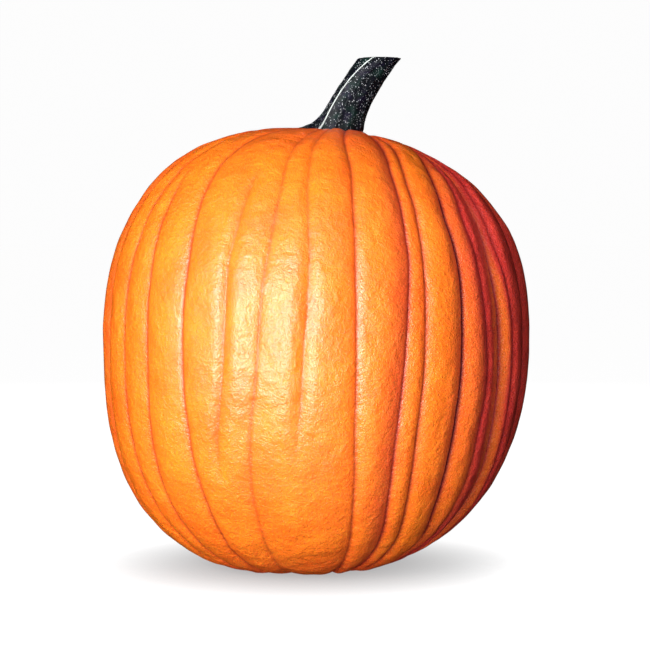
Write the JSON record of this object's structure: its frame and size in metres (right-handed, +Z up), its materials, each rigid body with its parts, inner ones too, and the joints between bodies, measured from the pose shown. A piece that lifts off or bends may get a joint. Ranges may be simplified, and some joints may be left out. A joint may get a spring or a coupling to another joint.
{
  "type": "pumpkin",
  "caption": "Tall ribbed orange pumpkin with a curved, ridged dark stem, standing on its underside.",
  "frame": {"origin": "On the ground, under the middle of the whole part's box", "axes": "+Z up from the underside through the crown, -Y faces the front, +X to the right"},
  "size_m": [0.2996, 0.3006, 0.358],
  "materials": {
    "rind": "satin",
    "stem_skin": "satin"
  },
  "bodies": {
    "root": {"fruit": "rind", "stem": "stem_skin"}
  },
  "joints": []
}
